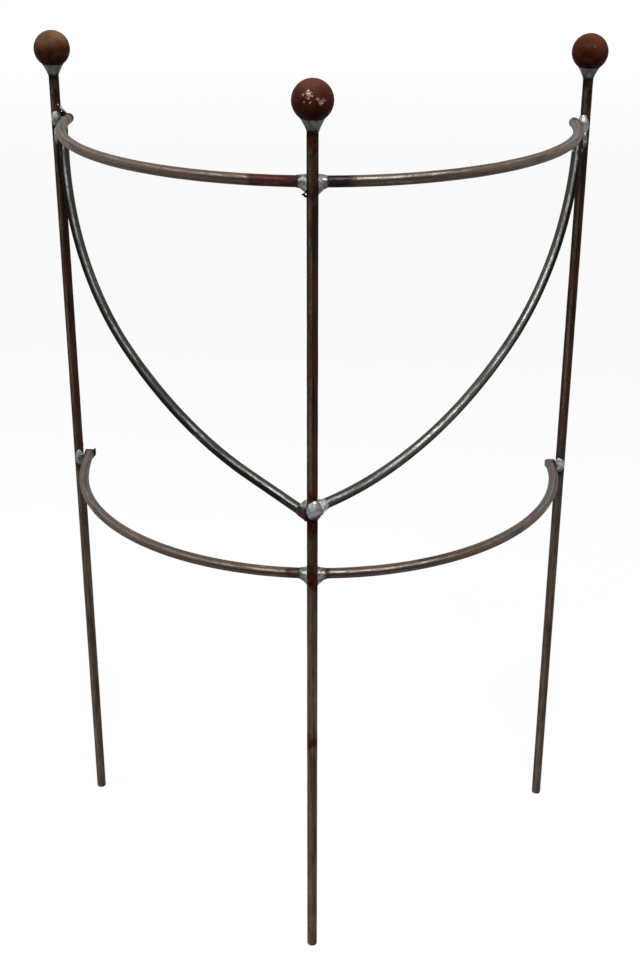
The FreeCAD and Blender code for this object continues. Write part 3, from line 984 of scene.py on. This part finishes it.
def makeBraceTopWeld(side):
    # a slim lump between a brace's top end and its upright
    run = runs[side]
    outward = np.cross(run["plan"], up) if side == "left" else np.cross(up, run["plan"])
    centre = run["foot"] + run["plan"] * size["barRadius"] + outward * braceTopBead["out"]
    centre = centre + up * (size["ringHeights"]["top"] - braceTopBead["drop"])
    spans = (braceTopBead["radius"], braceTopBead["radius"], braceTopBead["half"])
    shell = beadShell(centre, spans, outward, 60 + (side == "left"), (0, 0, -1))
    addPiece("brace_top_weld_" + side, [shell], weldSteel, "weld_metal", side + "_brace_top_weld")


# glare: the direction and half width of each sleeve's painted highlight
braceFoot = {
    "left": {"start": 0.0020, "length": 0.0185, "radii": (0.0057, 0.00508), "hollow": 1.0,
             "lobes": ((90, 0.0155, 4), (0, 0.0008, 1)), "brown": 1.0, "glare": ((0.06, -0.82, 0.56), 12)},
    "right": {"start": 0.0020, "length": 0.0162, "radii": (0.0060, 0.00508), "hollow": 1.5,
              "lobes": ((90, 0.0034, 3), (0, 0.0056, 1.2)), "brown": 0.0, "glare": ((0.0, -0.90, 0.44), 26)},
}
frontBead = {"wide": 0.0071, "deep": 0.0058, "half": 0.0104, "forward": 0.0026, "aside": 0.0019,
             "rise": 0.0006, "lump": 0.02, "toeDepth": 0.2, "darkShare": 0.85}


def frontBeadShell(end):
    # the large lump on the centre upright's front
    centre = end + [frontBead["aside"], -frontBead["forward"], frontBead["rise"]]
    spans = (frontBead["wide"], frontBead["deep"], frontBead["half"])
    depths = (frontBead["lump"], frontBead["toeDepth"], frontBead["darkShare"])
    return beadShell(centre, spans, (0.1, -1, 0.25), 75, (0.35, 0, -0.94), *depths)


def makeBraceFootWeld(side):
    # a sleeve that runs up the brace from its lower end
    foot, run = braceFoot[side], runs[side]
    reach = foot["start"] + np.linspace(0, foot["length"], sleeveGrid["rows"])
    ahead = np.tile(-run["arriving"], (len(reach), 1))
    seen = np.cross(run["plan"], up) * (1 if side == "left" else -1)
    front = np.tile(seen, (len(reach), 1))
    upper = np.sign(np.cross(seen, ahead[0])[2])
    lobes = [(degrees * upper, height, sharp) for degrees, height, sharp in foot["lobes"]]
    centres = run["end"] + ahead * reach[:, None]
    shells = [sleeveShell(centres, ahead, front, lobes, foot, 70 + (side == "left"))]
    if side == "right":
        shells.append(frontBeadShell(run["end"]))
    addPiece("brace_foot_weld_" + side, shells, brightWeld, "weld_metal", side + "_brace_foot_weld")


for side in ("left", "centre", "right"):
    makeNeckWeld(side)
for side, level in ringBeads:
    makeRingBead(side, level)
for level in ("top", "lower"):
    for side in ("left", "right"):
        makeCrossingWeld(side, level)
for side in ("left", "right"):
    makeBraceTopWeld(side)
    makeBraceFootWeld(side)
print("welds laid")


# what the welding left behind: spatter, a bit of wire, burnt lumps, a burr

spatter = {
    # an upright, metres to its right, towards the camera and above the ground, and the radius
    "drops": [
        ("left", 0.0024, 0.0044, 0.8051, 0.0010), ("left", 0.0046, 0.0020, 0.8024, 0.0014),
        ("right", -0.0094, 0.0117, 0.7650, 0.0014), ("right", -0.0014, 0.0080, 0.7652, 0.0013),
    ],
    # the trail of weld metal from the left upright to the top ring's end
    "trail": [(-0.2547, 0.1320, 0.8020), (-0.2530, 0.1350, 0.7990), (-0.2506, 0.1388, 0.7950)],
    "trailRadii": (0.0013, 0.0017, 0.0014),
}
# lines through points in the frame, and the tube's radius at each point
wireStub = {
    "paths": [
        [(-0.0040, -0.1370, 0.7858), (-0.0062, -0.1378, 0.7836), (-0.0074, -0.1378, 0.7822),
         (-0.0090, -0.1378, 0.7820)],
        [(-0.0046, -0.1375, 0.7800), (-0.0060, -0.1378, 0.7808), (-0.0072, -0.1378, 0.7822)],
    ],
    "radii": [(0.0007, 0.0006, 0.0008, 0.0005), (0.0008, 0.0011, 0.0007)],
}
burntLumps = {
    "paths": [
        [(-0.2572, 0.1325, 0.7955), (-0.2540, 0.1358, 0.7950), (-0.2508, 0.1392, 0.7940)],
        [(-0.2556, 0.1310, 0.4440), (-0.2550, 0.1312, 0.4452), (-0.2553, 0.1312, 0.4464)],
    ],
    "radii": [(0.0024, 0.0026, 0.0022), (0.0008, 0.0012, 0.0006)],
}
burr = {"inward": 0.0046, "back": 0.0012, "heights": (-0.0040, 0.0, 0.0036, 0.0060), "lean": 0.0010,
        "radii": (0.0009, 0.0014, 0.0011, 0.0004)}


tube = {"rows": 40, "sides": 24, "smoothings": 6, "uneven": 0.12}


def tubeShell(corners, radii, seed):
    # a thin tube: a smooth line through the corners, plus the radius times the cosine of the angle
    # to one side and its sine to the other, rounded off at both ends and roughened by smooth noise
    corners = np.array(corners)
    share = np.linspace(0, 1, tube["rows"])
    knots = np.linspace(0, 1, len(corners))
    line = np.stack([np.interp(share, knots, corners[:, axis]) for axis in range(3)], -1)
    for _ in range(tube["smoothings"]):
        line[1:-1] = (line[:-2] + line[1:-1] + line[2:]) / 3
    ahead = np.gradient(line, axis=0)
    ahead = ahead / np.linalg.norm(ahead, axis=1, keepdims=True)
    toSide = np.cross(ahead, [0.31, 0.83, 0.46])
    toSide = toSide / np.linalg.norm(toSide, axis=1, keepdims=True)
    toTop = np.cross(toSide, ahead)
    turn = np.linspace(0, 2 * np.pi, tube["sides"], endpoint=False)[None, :, None]
    circle = np.cos(turn) * toSide[:, None] + np.sin(turn) * toTop[:, None]
    rounded = np.sqrt(np.clip(1 - np.abs(share * 2 - 1) ** 12, 0.04, 1))
    reach = (np.interp(share, knots, radii) * rounded)[:, None]
    uneven = tube["uneven"] * wobble(circle + line[:, None] * 400, 1.5, seed)
    return line[:, None] + circle * (reach * (1 + uneven))[..., None], line[0], line[-1]


def burntMarks(grid):
    # scorched and in painted shade all over, with no rust, pale bloom or painted highlight
    none = np.zeros(grid.shape[:2])
    plain = {key: none for key in ("rust", "pale", "shine")}
    return dict(plain, barSpace=grid, scorch=none + 1, shade=none + 1)


def makeSpatter():
    # a small lump for each drop, and a tube for the trail
    shells = []
    for index, (side, right, forward, height, radius) in enumerate(spatter["drops"]):
        foot = size["feet"][side]
        towards = np.array(photoCamera["place"]) - foot
        towards = np.array([towards[0], towards[1], 0]) / math.hypot(towards[0], towards[1])
        lateral = np.cross(up, towards)
        centre = foot + lateral * right + towards * forward + up * height
        shells.append(beadShell(centre, (radius,) * 3, towards, 80 + index, None, 0.12, 0.3))
    grid, first, last = tubeShell(spatter["trail"], spatter["trailRadii"], 88)
    none = np.zeros(grid.shape[:2])
    # a faint painted highlight all along the trail
    shells.append((grid, first, last, {"toe": none, "shine": none + 0.3}))
    addPiece("weld_spatter", shells, brightWeld, "weld_metal")


def makeBurnt():
    # tubes: the wire, the burnt lumps and a burr that rises from the lower ring's left end
    lines = [line for group in (wireStub, burntLumps) for line in zip(group["paths"], group["radii"])]
    base = leftEnds["lower"] + np.array([burr["inward"], -burr["back"], 0])
    lean = np.linspace(0, burr["lean"], len(burr["heights"]))
    lines.append(([base + np.array([step, 0, height]) for step, height in zip(lean, burr["heights"])],
                  burr["radii"]))
    shells = []
    for index, (corners, radii) in enumerate(lines):
        grid, first, last = tubeShell(corners, radii, 90 + index)
        shells.append((grid, first, last, burntMarks(grid)))
    addPiece("burnt_leftovers", shells, uprightSteel, "raw_bar")


makeSpatter()
makeBurnt()
print("leftovers added")
